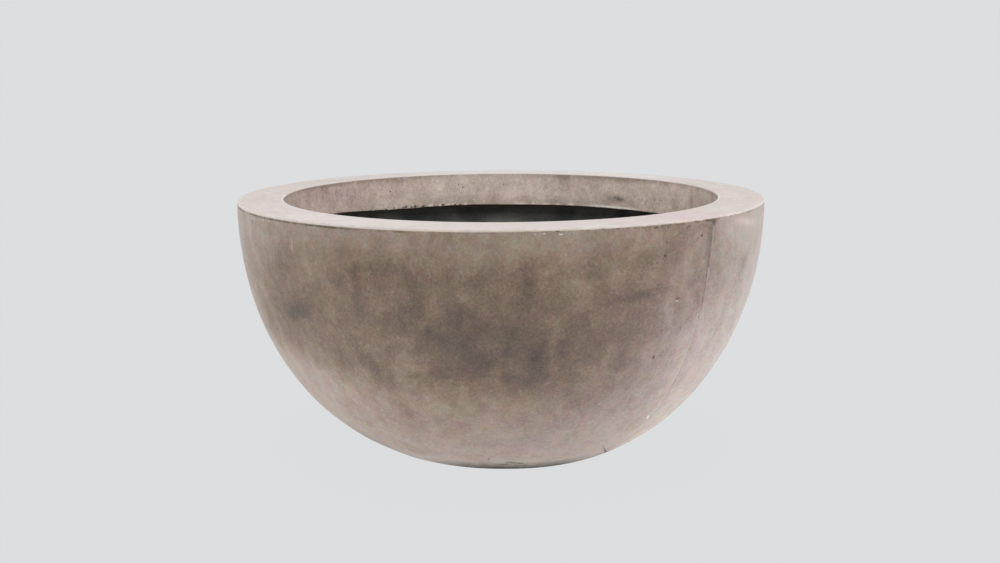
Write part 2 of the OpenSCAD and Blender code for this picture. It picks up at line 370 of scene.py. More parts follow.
        (57, 272, 28, 4, 30, -8), (50, 266, 12, 5, 12, -8),
    ],
    # stretches peppered with fine air holes
    "pitted": [
        (38, 271, 34, 10, 100), (33, 275, 36, 6, 50), (26, 276, 40, 5, 60), (12, 277, 24, 4, 30),
        (-62, 273, 40, 6, 30), (33, 250, 16, 12, 40), (172, 265, 90, 12, 50), (150, 276, 60, 4, 40),
        (128, 260, 40, 12, 50),
    ],
    # air holes: angle, height, radius and depth in millimetres
    "airHoles": [
        (32.5, 147.2, 1.3, 1.5), (40.3, 267.2, 0.9, 1), (39.2, 265.4, 0.8, 0.8), (31.2, 252.3, 0.9, 0.9),
        (29.4, 246.4, 0.7, 0.7), (-58.5, 273.8, 1.1, 0.9), (-4.6, 26.8, 1.1, 0.8), (32.6, 175.9, 0.6, 0.5),
        (37.9, 174.9, 0.6, 0.5), (-46.6, 237.2, 0.8, 0.6), (163, 228, 1.2, 1.2), (-121, 118, 1.1, 1.2),
    ],
    "chip": (35.4, 207.2, 1.6, 1.3),   # a flake knocked out beside the seam
}


def fromSeam(azimuth):
    # turn from the nearer of the two mould seams, in degrees
    first, second = (away(azimuth, seam) for seam in bowl["seams"])
    return np.where(np.abs(first) < np.abs(second), first, second)


def wallMarks(azimuth, height):
    # the finish of the outer wall at each angle and height. Sums of soft ovals give the wash, the bare and
    # the rosy cement and the chalk, a bell across the seam gives its line and pale lines beside it, the lower
    # one painted highlight, and the root of the depth below the line at the foot gives the foot's painted
    # contact shade, partly dirt. Gentle waves first shift the places, so that no oval stays regular
    azimuth = azimuth + 0 * height
    height = height + 0 * azimuth
    broad = [waves(azimuth, height, seed, 9, 0.05) for seed in (21, 23)]
    close = [waves(azimuth, height, seed, 9, 0.02) for seed in (22, 24)]
    place = (azimuth + 0.6 * broad[0] + 0.25 * close[0], height + 0.003 * broad[1] + 0.0012 * close[1])
    behind = scattered(31, 70, (88, 288), (120, 268), (5, 20), (7, 22), (-12, 20))
    stain = clouds(*place, bowl["washes"], 2) + clouds(*place, bowl["stains"] + behind)
    stain = stain - clouds(*place, bowl["wiped"]) + clouds(azimuth, height, bowl["soaked"])
    nearest = fromSeam(azimuth)
    upper = climb(height, *bowl["seamFade"])
    wander = 0.08 * waves(azimuth * 0, height, 41, 6, 0.05)
    patchy = 0.65 + 0.45 * waves(azimuth * 0, height, 43, 8, 0.03)
    line = bell(nearest + wander, 0.17) * (0.62 - 0.54 * upper) * patchy * climb(height, 0.02, 0.1, 0.15)
    # towards the top the seam is a soft brown band with a thin pale line on its right
    width = 0.65 + 0.35 * climb(height, 0.20, 0.06)
    stain = stain + bell(nearest + 0.2 + wander, width, 4) * 0.17 * upper * patchy
    rightLine = 0.42 + 0.4 * climb(height, 0.235, 0.02)
    pale = bell(nearest - rightLine + wander, 0.16) * climb(height, 0.19, 0.04) * 0.22
    pale = pale * np.clip(1 + 0.8 * waves(azimuth * 0, height, 44, 8, 0.012), 0, 2)
    pale = pale * climb(height, 0.277, -0.01)
    # lower down the pale line, fainter and on its left, is painted highlight along the seam's edge
    pale = pale + bell(nearest + 0.42, 0.22) * climb(height, 0.05, 0.08) * (1 - upper) * 0.15
    # painted contact shade, partly dirt, darkens the foot of the bowl, highest left of the middle
    footShadeAndDirtLine = bowl["footShadeAndDirtLine"] + 0.0005 * waves(azimuth, height * 0, 42, 8, 0.03)
    for spot, half, rise in bowl["footShadeAndDirtRises"]:
        footShadeAndDirtLine = footShadeAndDirtLine + rise * bell(away(azimuth, spot), half)
    low = np.sqrt(climb(height, footShadeAndDirtLine, -0.013)) * (0.25 + 0.75 * bell(away(azimuth, 5), 36, 4))
    return {
        "stain": stain,
        "bare": np.clip(clouds(*place, bowl["bare"], 2), 0, 1),
        "rosy": np.clip(clouds(*place, bowl["rosy"]), 0, 1),
        "grimeAndShade": np.clip(line + low + clouds(azimuth, height, bowl["dirt"]), 0, 1),
        "chalkAndHighlight": pale + clouds(azimuth, height, bowl["bloom"]),
        "pitted": np.clip(clouds(azimuth, height, bowl["pitted"]), 0, 1),
    }


def wallCurve(inset, count=3001):
    # superellipse in (radius, height): R cos(t)^(2/n) and joint - D sin(t)^(2/n), moved inwards
    # along its normal
    size, low = bowl["rimRadius"], bowl["jointHeight"] - bowl["baseHeight"]
    power = 2 / bowl["fullness"]
    depth = low / (1 - (bowl["baseRadius"] / size) ** bowl["fullness"]) ** (1 / bowl["fullness"])
    angle = np.linspace(0, math.pi / 2, count)
    side = np.cos(angle) ** (2 - power) / size
    down = np.sin(angle) ** (2 - power) / depth
    long = np.hypot(side, down)
    return np.stack([size * np.cos(angle) ** power - inset * side / long,
                     bowl["jointHeight"] - depth * np.sin(angle) ** power + inset * down / long], 1)


def cutAt(curve, height):
    # the part of a falling curve above a height, ended exactly on it
    kept = curve[curve[:, 1] > height]
    radius = np.interp(-height, -curve[:, 1], curve[:, 0])
    return np.concatenate([kept, [[radius, height]]])


def settled(x, height):
    # the cast wall isn't quite true: its x is stretched a little above the foot and drawn in at it,
    # then leans by the table's offset, and the foot hangs lower, more so in its right half
    low = climb(height, 0.022, -0.018) ** 1.5
    wide = 1 + 0.0042 * bell(height - 0.06, 0.03) - 0.026 * low
    lean = np.interp(height, *zip(*bowl["lean"]))
    sag = climb(height, 0.02, -0.012) * (0.0003 + 0.0004 * np.clip(x / 0.06, -1, 1))
    return x * wide + lean, height - sag


def buildShell():
    # the section (outer curve, rounded base edge, base, drain hole, floor, inner curve) turned about the
    # axis. The outside moves along its normals by waves, less the seam's groove and less a hollow of
    # depth exp(-distance^4) at each air hole, and is settled last
    edge = bowl["baseEdge"]
    outer = wallCurve(0)
    centres = wallCurve(edge)
    k = int(np.argmax(centres[:, 1] < bowl["baseHeight"] + edge))
    out = (outer[k] - centres[k]) / edge
    wallLine = outer[:k + 1]
    edgeLine = arc(centres[k], edge, math.degrees(math.atan2(out[1], out[0])), -90, 13)
    inner = cutAt(wallCurve(bowl["wall"]), bowl["floorHeight"])
    inner[0, 1] = bowl["jointHeight"]
    hole = bowl["drainHole"]
    holes = [(*hollow, 0.95) for hollow in bowl["airHoles"]] + [(*bowl["chip"], 0.35)]
    length = np.concatenate([[0], np.cumsum(np.hypot(*np.diff(wallLine, axis=0).T))])
    levels = np.interp([-hollow[1] / 1000 for hollow in holes], -wallLine[:, 1], length)
    wallRows = gathered(0, length[-1], 0.0062, levels, 0.0005, 0.0014,
                        keep=(0.0004, 0.0012, 0.003), dense=(0.07, 0.006, 0.09))
    rows = np.concatenate([
        along(wallLine, wallRows),
        edgeLine[1:],
        np.stack([np.linspace(edgeLine[-1, 0], hole, 8)[1:], np.full(7, bowl["baseHeight"])], 1),
        [[hole, 0.012], [hole, bowl["floorHeight"]]],
        np.stack([np.linspace(hole, inner[-1, 0], 6)[1:], np.full(5, bowl["floorHeight"])], 1),
        along(inner[::-1], np.linspace(0, lengthOf(inner), 14))[1:],
        [[0.294, bowl["jointHeight"]]],
    ])
    azimuth = gathered(-180, 180, 1.8, [hollow[0] for hollow in holes], 0.1, 0.3, dense=(0, 1.0, 75))
    seamLines = [away(angle + np.arange(-1.6, 1.61, 0.16), 0) for angle in bowl["seams"]]
    azimuth = np.union1d(azimuth, np.concatenate(seamLines))[:-1]
    points = turned(rows, azimuth)
    height = points[..., 2]
    angle = azimuth[None, :] + 0 * height
    outside = (np.arange(len(rows)) < wallRows.size + edgeLine.shape[0] - 1)[:, None]
    taper = climb(height, bowl["jointHeight"], -0.04) * outside
    relief = bowl["unevenness"] * waves(angle, height, 4, 14, 0.12) * taper
    # the seam is a fine groove, its left side rubbed down a little below the right
    nearest = fromSeam(angle)
    groove = bowl["groove"] * bell(nearest, 0.15) * (1 + 0.4 * waves(angle * 0, height, 5, 7, 0.02))
    groove = groove * (1 - 0.85 * climb(height, 0.150, 0.08))
    relief -= (groove + 0.00012 * np.exp(-np.abs(nearest + 0.1) / 0.8) * (nearest < 0.02)) * taper
    # painted shade in the hollows: each air hole is darkened by 0.95 of its hollow's bell and the chip by
    # 0.35, added to the grime
    holeShade = 0 * height
    for place, level, radius, depth, dark in holes:
        across = np.radians(away(angle, place)) * np.hypot(points[..., 0], points[..., 1]) * 1000
        hollow = bell(np.hypot(across, height * 1000 - level), radius, 4) * outside
        relief -= depth / 1000 * hollow
        holeShade = np.maximum(holeShade, hollow * dark)
    points = points + outwards(points) * relief[..., None]
    x, z = settled(points[..., 0], points[..., 2])
    points[..., 0] = np.where(outside, x, points[..., 0])
    points[..., 2] = np.where(outside, z, points[..., 2])
    marks = wallMarks(angle, height)
    marks["grimeAndShade"] = np.clip(marks["grimeAndShade"] + holeShade, 0, 1)
    return gridPiece("bowlShell", points, marks)


rim = {
    "topHeight": 0.284,
    "opening": 0.249,
    "outerArris": 0.002,
    "innerArris": 0.0015,
    "lipBack": 0.261,
    "lipLow": 0.241,
    "under": 0.270,
    "spigot": 0.2875,
    "columns": 1200,
    "outerFrom": 0.28,    # beyond this radius a point belongs to the outer arris
    "mouthTo": 0.26,      # within this radius to the inner one and the lip
    "sandedTo": 0.0017,   # how far below the top the sanding takes in the arrises
    "sandedSoft": 0.0006,
    "lineBelow": 0.0025,  # the line of grime under the outer arris
    "lineWidth": 0.0012,
    "nicks": 240,         # seeded nicks round the outer arris, besides the chips that show at these angles
    "chips": [9.8, 15.4, 20.9, 28.8, 34.8, -49, -66, 52, 60],
    # how grimy the outer arris is: angle, half width in degrees and strength, the rest is nearly clean
    "grimy": [
        (-64, 17, 0.95), (-38, 16, 0.7), (-12, 20, 0.35), (30, 9, 0.5), (43, 6, 0.3), (60, 9, 0.25),
        (150, 60, 0.3),
    ],
    # how far the lip's lower edge hangs down in places: angle, half width in degrees, millimetres
    "drops": [(-151, 11, 1.5), (173, 12, 0.7), (140, 14, 0.5), (-122, 11, -3.1), (-104, 12, -0.8)],
    "crumbly": -152,      # the stretch of the lip's lower edge that broke away in crumbs
    # pale dashes of squeezed paste on that edge: angle and half width in degrees
    "dashes": [
        (173.5, 2.3), (169.5, 0.5), (165.5, 1.3), (161.3, 0.7), (157, 1), (-163, 2.6), (-168.5, 0.6),
    ],
    # marks on the sanded face, as on the wall but with the radius for the height,
    # darker where positive and paler where negative
    "smears": [
        (-87.5, 251.5, 5, 3, -100), (-54, 283, 7, 4, 45), (-50, 280, 5, 3, 30), (-57, 275, 20, 3, -12, 5),
        (60, 275, 40, 6, -10, 3), (75, 285, 30, 5, 15, -2), (-80, 280, 25, 8, 12),
        (-100, 270, 40, 6, -10, 4), (-36, 274, 130, 34, -17), (12, 274, 110, 34, -4),
        (180, 276, 170, 30, -30), (140, 276, 90, 30, -26),
    ],
    # rosy patches of the lip
    "rosy": [
        (-120, 262, 130, 30, 80), (-150, 270, 40, 8, 50), (175, 252, 70, 8, 40), (152, 268, 60, 9, 30),
    ],
    # air holes in the lip's face, drawn as dots of painted shade: angle, height and radius in millimetres
    "pits": [
        (-143.3, 264.6, 1.5), (-166.5, 269.7, 1.1), (-167.9, 265.4, 1.4), (179, 268.9, 1.1),
        (143.7, 267.5, 1), (126, 257.8, 1.3), (123.4, 258.2, 1), (-133.8, 271, 0.9), (160, 262, 0.8),
        (-156, 258, 0.8), (172, 275, 0.7), (118, 262, 0.8), (-173, 262, 0.8), (151, 273, 0.8),
    ],
    # green-brown smudges on the lip
    "smudges": [
        (141, 254.5, 21, 6.5, 74), (139.5, 253, 12, 5, 28), (-178.3, 252.6, 4, 3, 35),
        (165.5, 266.8, 4, 4, 50), (126, 258, 4, 5, 40), (153, 262, 4, 3, 30), (160, 273, 30, 3, 25),
        (135, 277.5, 90, 2.5, 35), (178, 279, 60, 1.8, 30), (-150, 279, 70, 1.6, 40),
        (-143, 274, 50, 1.8, 25, 4),
    ],
    # stains on the lip, as on the wall
    "lipStains": [
        (108, 268, 3, 12, 25), (-128, 262, 40, 8, 16, 10), (170, 250, 12, 6, 18), (-150, 276, 60, 3, 20),
        (160, 278, 90, 2, 15), (-102, 268, 60, 22, -12), (-132, 262, 90, 30, 5), (100, 262, 40, 14, 12),
        (175, 256, 26, 9, -15), (-140, 250, 40, 7, -12),
    ],
}


def buildRim():
    # the section (outer edge, arris, flat face, arris, lip, its back, underside, spigot) turned about
    # the axis. Along its normals the outer arris moves in by bells at the nicks, and the lip by waves
    size, top, joint = bowl["rimRadius"], rim["topHeight"], bowl["jointHeight"]
    a, b, face, low = rim["outerArris"], rim["innerArris"], rim["opening"], rim["lipLow"]
    parts = [
        ([[size, joint], [size, top - a]], 0.0008),
        (arc((size - a, top - a), a, 0, 90), 0.0005),
        ([[size - a, top], [face + b, top]], 0.0055),
        (arc((face + b, top - b), b, 90, 180), 0.0005),
        ([[face, top - b], [face, low + 0.004]], 0.0032),
        ([[face, low + 0.004], [face, low + 0.001]], 0.0008),
        (arc((face + 0.001, low + 0.001), 0.001, 180, 270, 5), 0.0004),
        ([[face + 0.001, low], [rim["lipBack"], low]], 0.0025),
        ([[rim["lipBack"], low], [rim["lipBack"], rim["under"]]], 0.008),
        ([[rim["lipBack"], rim["under"]], [rim["spigot"], rim["under"]]], 0.009),
        ([[rim["spigot"], rim["under"]], [rim["spigot"], joint], [size, joint]], 0.006),
    ]
    rows, _ = sampled(parts)
    azimuth = allRound(rim["columns"])
    points = turned(rows, azimuth)
    radius, height = np.hypot(points[..., 0], points[..., 1]), points[..., 2]
    angle = azimuth[None, :] + 0 * height
    # nibbled outer arris: seeded dips and the ones that show, deepest on the edge itself
    rng = np.random.default_rng(7)
    nicks, chips = rim["nicks"], len(rim["chips"])
    places = np.concatenate([rng.uniform(-180, 180, nicks), rim["chips"]])
    wide = np.concatenate([rng.uniform(0.2, 0.6, nicks), np.full(chips, 0.35)])
    deep = np.concatenate([rng.uniform(0, 1, nicks) ** 3, np.full(chips, 1.0)])
    dips = (deep[:, None] * bell(away(azimuth[None, :], places[:, None]), wide[:, None])).max(0)
    onArris = bell(radius - size + 0.0004, 0.0016) * bell(height - top + 0.0008, 0.0016)
    relief = -(0.0007 * dips + 0.00006 * np.maximum(1 + waves(azimuth, 0, 8, 12, 0.012), 0)) * onArris
    # ragged lower edge of the lip, where the mix was struck off by hand
    lowEdge = bell(height - low, 0.0016) * np.exp(-np.maximum(radius - face - 0.004, 0) / 0.003)
    lowEdge = lowEdge * (radius < rim["lipBack"] - 0.002)
    ragged = 0.7 * waves(azimuth, 0, 9, 16, 0.04) + 0.5 * waves(azimuth, 0, 19, 16, 0.009)
    crumbly = 0.15 + 0.85 * bell(away(azimuth, rim["crumbly"]), 17, 4)
    relief += 0.0005 * ragged * crumbly * lowEdge
    hang = (radius < rim["lipBack"] + 0.0005) * climb(height, low + 0.022, -0.022)
    for spot, half, drop in rim["drops"]:
        points[..., 2] -= hang * drop / 1000 * bell(away(angle, spot), half)
    # the sanded face is flat within a tenth of a millimetre, the cast lip is a little wavy
    lipFace = (radius < face + 0.0005) * climb(height, top - 0.004, -0.01)
    relief += 0.0003 * waves(angle, height, 10, 12, 0.05) * lipFace
    points = points + outwards(points) * relief[..., None]
    points[..., 2] = np.minimum(points[..., 2], top)
    marks = rimMarks(angle, radius, height, crumbly)
    return gridPiece("rimCollar", points, marks)


def rimMarks(angle, radius, height, crumbly):
    # the finish of the rim. Above an edge that waves round the arrises it is sanded, inside that edge it is
    # the lip with its own ovals of stain and smudge and its painted light and shade, bells along its edges
    # give crumbs and paste, and the rest is finished as the wall is
    top, low, azimuth = rim["topHeight"], rim["lipLow"], angle[:1]
    marks = wallMarks(angle, np.minimum(height, top))
    # the sanding takes in the outer arris where it isn't grimy, and the inner one only at the front
    wobble = 0.00008 * waves(azimuth, 0, 18, 16, 0.010)
    behind = climb(np.abs(away(angle, 0)), 72, 36) * (radius < rim["mouthTo"])
    # a thin olive line of grime runs under the arris, broken here and there
    broken = 0.85 + 0.25 * waves(azimuth, 0, 11, 12, 0.04) + 0.25 * waves(azimuth, 0, 20, 16, 0.007)
    grimy = sum(strength * bell(away(azimuth, spot), half) for spot, half, strength in rim["grimy"])
    broken = broken * (0.2 + grimy)
    lower = 0.0005 + 0.0006 * bell(away(angle, -35), 34, 4)
    outer = radius > rim["outerFrom"]
    edge = top - rim["sandedTo"] + 0.0008 * behind + wobble
    edge = edge + (0.0003 * np.clip(broken, 0, 1) - lower) * outer
    sanded = climb(height, edge, rim["sandedSoft"])
    lip = (radius < rim["lipBack"]) * (1 - sanded)
    under = bell(height - top + rim["lineBelow"] + lower, rim["lineWidth"]) * outer * np.clip(broken, 0.05, 1)
    shift = 0.6 * waves(angle, height, 12, 9, 0.03)
    # painted light: the lip is paler towards the back middle, where more light falls on it, and darker again
    # lower down there
    middle = bell(away(angle, 178), 30)
    lipStainLightAndShade = 0.54 - 0.42 * middle - 0.12 * bell(away(angle, 104), 18)
    lipStainLightAndShade = lipStainLightAndShade + 0.45 * climb(height, 0.256, -0.011) * middle
    lipStainLightAndShade = lipStainLightAndShade + clouds(angle + shift * 0.4, height, rim["lipStains"])
    lipStainLightAndShade = lipStainLightAndShade + 0.08 * waves(angle, height, 13, 10, 0.04)
    # painted shade: a band a little below the top, deeper at the back left and right, and at the back the top
    # itself, darken under the inner arris
    edgeLine = 0.3 + 0.25 * bell(away(angle, 145), 26, 4) + 0.2 * bell(away(angle, -142), 18, 4)
    lipStainLightAndShade = lipStainLightAndShade + edgeLine * bell(height - top + 0.0028, 0.0018)
    lipStainLightAndShade = lipStainLightAndShade + 0.35 * behind * climb(height, top - 0.0022, 0.001)
    crumbs = bell(height - low - 0.0008, 0.0018) * crumbly
    crumbs = crumbs * (0.45 + 0.9 * waves(angle, height, 14, 14, 0.006))
    crumbs = np.clip(crumbs + clouds(angle, height, rim["smudges"]), 0, 1) * lip
    # paste squeezed out along the lower edge: an even bead at the right, dashes behind, crumbs at the left
    bead = 1.3 * bell(away(angle, 142.5), 9, 4) * (1 + 0.25 * waves(angle, 0 * height, 15, 14, 0.01))
    bead = bead + sum(0.9 * bell(away(angle, spot), half, 4) for spot, half in rim["dashes"])
    frayed = bead + 1.6 * (crumbly - 0.15) * np.clip(waves(angle, height, 25, 14, 0.008), 0, 1)
    paste = 1.6 * bell(height - low - 0.0014, 0.0014) * frayed
    marks["stain"] = np.where(lip > 0, lipStainLightAndShade, marks["stain"])
    marks["grimeAndShade"] = np.where(lip > 0, crumbs, np.clip(marks["grimeAndShade"] * 0.7 + under, 0, 1)) * (1 - sanded)
    marks["chalkAndHighlight"] = np.where(lip > 0, paste * lip, marks["chalkAndHighlight"])
    marks["rosy"] = np.where(lip > 0, np.clip(clouds(angle, height, rim["rosy"]), 0, 1), marks["rosy"])
    marks["pitted"] = marks["pitted"] * (1 - sanded)
    marks["smear"] = np.clip(clouds(angle, radius, rim["smears"]), -1, 1) * sanded
    return marks | {"sanded": sanded, "lip": lip}


lining = {
    "thickness": 0.003,
    "brushMarks": 0.0009,      # how far the brushed resin stands up
    "collar": 0.030,           # the sleeve's flange lies on the floor within this radius
    "sags": 0.05,              # size of the resin's cloudy sags
    "strands": 0.006,          # bundles of glass strands that show through, at about their real size
    "weave": 0.0016,           # single strands are under 0.1 mm, drawn coarser so that they show
    "depth": 0.0008,           # of their relief
    # from cement dust on the resin, and the painted light under the lip, to the clean black of the pooled
    # resin
    "colours": [(0.0, "#7a7b73"), (0.5, "#585952"), (1.0, "#40413c")],
}


def buildLining():
    # the skin's section (floor, wall, underside of the rim, back of the lip and the way back inside) turned
    # about the axis, its inner face moved along its normals by sums of cosines in space
    skin, collar = lining["thickness"], lining["collar"]
    under, lipBack, lipLow, floor = rim["under"], rim["lipBack"], rim["lipLow"], bowl["floorHeight"]
    back = cutAt(wallCurve(bowl["wall"]), floor)
    front = cutAt(wallCurve(bowl["wall"] + skin), floor + skin)
    back = back[back[:, 1] < under]
    front = front[front[:, 1] < under - skin]
    hole = bowl["drainHole"]
    parts = [
        ([[hole, floor], back[-1]], 0.03),
        (back[::-1], 0.02),
        ([back[0], [lipBack, under]], 0.012),
        ([[lipBack, under], [lipBack, lipLow]], 0.012),
        ([[lipBack, lipLow], [lipBack + skin, lipLow]], 0.0015),
        ([[lipBack + skin, lipLow], [lipBack + skin, under - skin]], 0.004),
        ([[lipBack + skin, under - skin], front[0]], 0.005),
        (front, 0.005),
        ([front[-1], [collar, floor + skin]], 0.006),
        ([[collar, floor + skin], [hole, floor + skin]], 0.004),
        ([[hole, floor + skin], [hole, floor]], 0.0015),
    ]
    rows, part = sampled(parts)
    seen = np.isin(part, (7, 8))     # the wall's and the floor's inner face
    points = turned(rows, allRound(420))
    radius, height = np.hypot(points[..., 0], points[..., 1]), points[..., 2]
    # brushed laminate: long sags and short lumps, all of it towards the inside of the bowl
    brushed = 0.5 + 0.35 * lumps(points, 16, 14, 0.09) + 0.2 * lumps(points, 17, 16, 0.026)
    clear = climb(radius, 0.032, 0.01) * climb(height, under - skin, -0.006) * seen[:, None]
    points = points + outwards(points) * (lining["brushMarks"] * np.clip(brushed, 0, 1.4) * clear)[..., None]
    # painted light: the skin is paler just under the lip's lower edge, fading over about a centimetre, where
    # the lip's shade falls
    paintedLightUnderLip = bell(lipLow - height, 0.009) * (height < lipLow + 0.001)
    return gridPiece("liningSkin", points, {"pooledAndPaintedLight": np.clip(brushed, 0, 1) - 1.3 * paintedLightUnderLip})


sleeve = {
    "bore": 0.014, "tube": 0.017, "flange": 0.026,
    "low": 0.004, "seat": 0.023, "top": 0.0255, "bevel": 0.0004,
}


def buildSleeve():
    # the section (bore, bevelled foot, tube, flange with a moulded ring line) turned about the axis
    bore, tube, flange, low, seat, top, bevel = sleeve.values()
    line = np.concatenate([
        [[bore, top - 0.0003], [bore, low + bevel], [bore + bevel, low], [tube - bevel, low],
         [tube, low + bevel], [tube, seat], [flange - bevel, seat]],
        arc((flange - 0.0008, seat + 0.0008), 0.0008, -90, 0, 5)[1:],
        arc((flange - 0.0014, top - 0.0014), 0.0014, 0, 90, 7),
        [[flange - 0.0026, top], [flange - 0.0030, top - bevel], [flange - 0.0036, top - bevel],
         [flange - 0.0040, top], [bore + 0.0003, top]],
    ])
    return gridPiece("drainSleeve", turned(line, allRound(120)), sharp=50)


plug = {
    "shank": 0.01392, "leadWidth": 0.0015, "leadLength": 0.004, "low": 0.0115, "seat": 0.0255,
    "head": 0.0195, "headTop": 0.0295, "headEdge": 0.0015,
    "gripWidth": 0.024, "gripThickness": 0.006, "gripTop": 0.0455,
    "groove": (0.0185, 0.021),      # heights of the sealing groove round the shank
    "ringLine": 0.0161,             # radius of the moulded line on the head
}


def buildPlug():
    # rings of half axes a and b and squareness n, stacked on the axis: |x/a|^n + |y/b|^n = 1,
    # round up to the head's top, then drawn in to the flat grip through a small fillet
    shank, head, edge, top = plug["shank"], plug["head"], plug["headEdge"], plug["headTop"]
    low, seat = plug["low"], plug["seat"]
    halfWidth, halfThick, gripTop = plug["gripWidth"] / 2, plug["gripThickness"] / 2, plug["gripTop"]
    leadLow, leadTop = shank - plug["leadWidth"], low + plug["leadLength"]
    groove, groovedTo = plug["groove"]
    ring = plug["ringLine"]
    line = np.concatenate([
        [[0.004, low], [leadLow - 0.0005, low], [leadLow, low + 0.0004], [shank - 0.0003, leadTop - 0.0006],
         [shank, leadTop], [shank, groove], [shank - 0.0002, groove + 0.0005],
         [shank - 0.0002, groovedTo - 0.0005], [shank, groovedTo], [shank, seat - 0.0004],
         [shank + 0.0003, seat], [head - 0.0005, seat], [head, seat + 0.0005]],
        arc((head - edge, top - edge), edge, 0, 90, 8),
        [[ring + 0.0007, top], [ring + 0.0003, top - 0.0003], [ring - 0.0003, top - 0.0003],
         [ring - 0.0007, top]],
    ])
    centre = gripTop - halfWidth
    rise = np.concatenate([np.linspace(0, 1, 9) ** 1.6 * 0.0026, np.linspace(0.0034, centre - top, 4)])
    fillet = 0.0021 * (1 - np.sqrt(np.clip(1 - (1 - np.clip(rise / 0.0026, 0, 1)) ** 2, 0, 1)))
    arch = np.radians([8, 18, 28, 38, 48, 57, 65, 72, 78, 83, 87])
    wide = np.concatenate([halfWidth + fillet, halfWidth * np.cos(arch)])
    tall = np.concatenate([top + rise, centre + halfWidth * np.sin(arch)])
    edgeRound = np.sqrt(np.clip(1 - ((np.clip(tall - (gripTop - 0.0022), 0, None)) / 0.0022) ** 2, 0.12, 1))
    thick = np.concatenate([halfThick + fillet, np.full(arch.size, halfThick)]) * edgeRound
    waist = 1 - 0.12 * bell(tall - top - 0.009, 0.004)
    a = np.concatenate([line[:, 0], wide])
    b = np.concatenate([line[:, 0], thick * waist])
    z = np.concatenate([line[:, 1], tall])
    n = np.concatenate([np.full(len(line), 2.0), np.full(wide.size, 5.0)])
    turn = np.radians(np.linspace(0, 360, 144, endpoint=False))[None, :]
    power = (2 / n)[:, None]
    x = a[:, None] * np.sign(np.cos(turn)) * np.abs(np.cos(turn)) ** power
    y = b[:, None] * np.sign(np.sin(turn)) * np.abs(np.sin(turn)) ** power
    points = np.stack([x, y, z[:, None] + 0 * x], 2)
    return gridPiece("drainPlug", points, poles=((0, 0, low), (0, 0, gripTop)), sharp=50)


pad = {"radius": 0.016, "draft": 0.001, "height": 0.004, "circle": 0.115, "relief": 0.0004}


def buildPad(index):
    # a moulded foot: low rings round a dimple on its sole, turned about its own axis and moved to its place
    r, h, up = pad["radius"], pad["height"], pad["relief"]
    low = r - pad["draft"]
    line = np.concatenate([
        [[0.002, 0.0005], [0.0035, up], [0.0042, 0], [0.0062, 0], [0.0066, up], [0.0078, up], [0.0082, 0],
         [0.0102, 0], [0.0106, up], [0.0118, up], [0.0122, 0]],
        arc((low - 0.0006, 0.0006), 0.0006, -90, 0, 5),
        [[r, h - 0.0003], [r - 0.0003, h], [0.002, h]],
    ])
    points = turned(line, allRound(72))
    turn = math.radians((index - 0.5) * 90)
    place = np.array([math.cos(turn), math.sin(turn), 0]) * pad["circle"]
    poles = (place + (0, 0, 0.0005), place + (0, 0, h))
    return gridPiece(f"footPad{index}", points + place, poles=poles)


def newMaterial(name, roughness):
    # a material with its shader's fixed values set, and the surface's own coordinates
    material = bpy.data.materials.new(name)
    material.use_nodes = True
    tree = material.node_tree
    shader = tree.nodes["Principled BSDF"]
    fill(tree, shader, {"Roughness": roughness, "IOR": 1.5})
    return material, tree, shader, addNode(tree, "TexCoord", output="Object")


def noise(tree, place, size, detail=2.0, roughness=0.5, distortion=0.0):
    # cloud noise whose lumps are about size metres across, from -0.5 to 0.5
    texture = addNode(tree, "TexNoise", {}, {"Vector": place, "Scale": 1 / size, "Detail": detail,
                                             "Roughness": roughness, "Distortion": distortion})
    return addNode(tree, "Math", "SUBTRACT", [texture, 0.5])


def weighted(tree, start, terms):
    # start plus the sum of each value times its weight
    for value, weight in terms:
        start = addNode(tree, "Math", "MULTIPLY_ADD", [value, weight, start])
    return start


def layered(tree, colour, layers):
    # colours laid on one another, each by its share from 0 to 1: share times it plus the rest of what is
    # under it, or another way of blending where one is named
    for share, over, *blend in layers:
        settings = {"data_type": "RGBA", "blend_type": blend[0] if blend else "MIX"}
        colour = addNode(tree, "Mix", settings, {0: share, 6: colour, 7: over}, 2)
    return colour


smooth = {"interpolation_type": "SMOOTHSTEP"}      # a slope with soft ends


def stroke(tree, place, start, end, size, strength, soft=0.5):
    # strength within a short stroke between two points and 0 outside it: the distance to the segment,
    # turned to a soft step at the stroke's half width in millimetres
    start, end = np.array(start, float), np.array(end, float)
    run = end - start
    unit = run / max(float(run @ run), 1e-12)
    offset = addNode(tree, "VectorMath", "SUBTRACT", [place, start.tolist()])
    share = addNode(tree, "VectorMath", "DOT_PRODUCT", [offset, unit.tolist()], "Value")
    kept = addNode(tree, "Clamp", {}, [share])
    reached = addNode(tree, "VectorMath", "SCALE", {0: run.tolist(), "Scale": kept})
    gap = addNode(tree, "VectorMath", "DISTANCE", [offset, reached], "Value")
    return addNode(tree, "MapRange", smooth, [gap, size / 1000 * soft, size / 1000, strength, 0.0])


def onWall(angle, height):
    # the point of the outer wall at an angle and a height in millimetres, settled as the wall is
    curve = wallCurve(0)
    if height / 1000 > bowl["jointHeight"]:
        radius = bowl["rimRadius"]
    else:
        radius = float(np.interp(-height / 1000, -curve[:, 1], curve[:, 0]))
    turn = math.radians(angle)
    x, z = settled(radius * math.sin(turn), height / 1000)
    return (float(x), -radius * math.cos(turn), float(z))


def onLip(angle, height):
    # the point of the lip's face at an angle and a height in millimetres
    turn = math.radians(angle)
    return (rim["opening"] * math.sin(turn), -rim["opening"] * math.cos(turn), height / 1000)


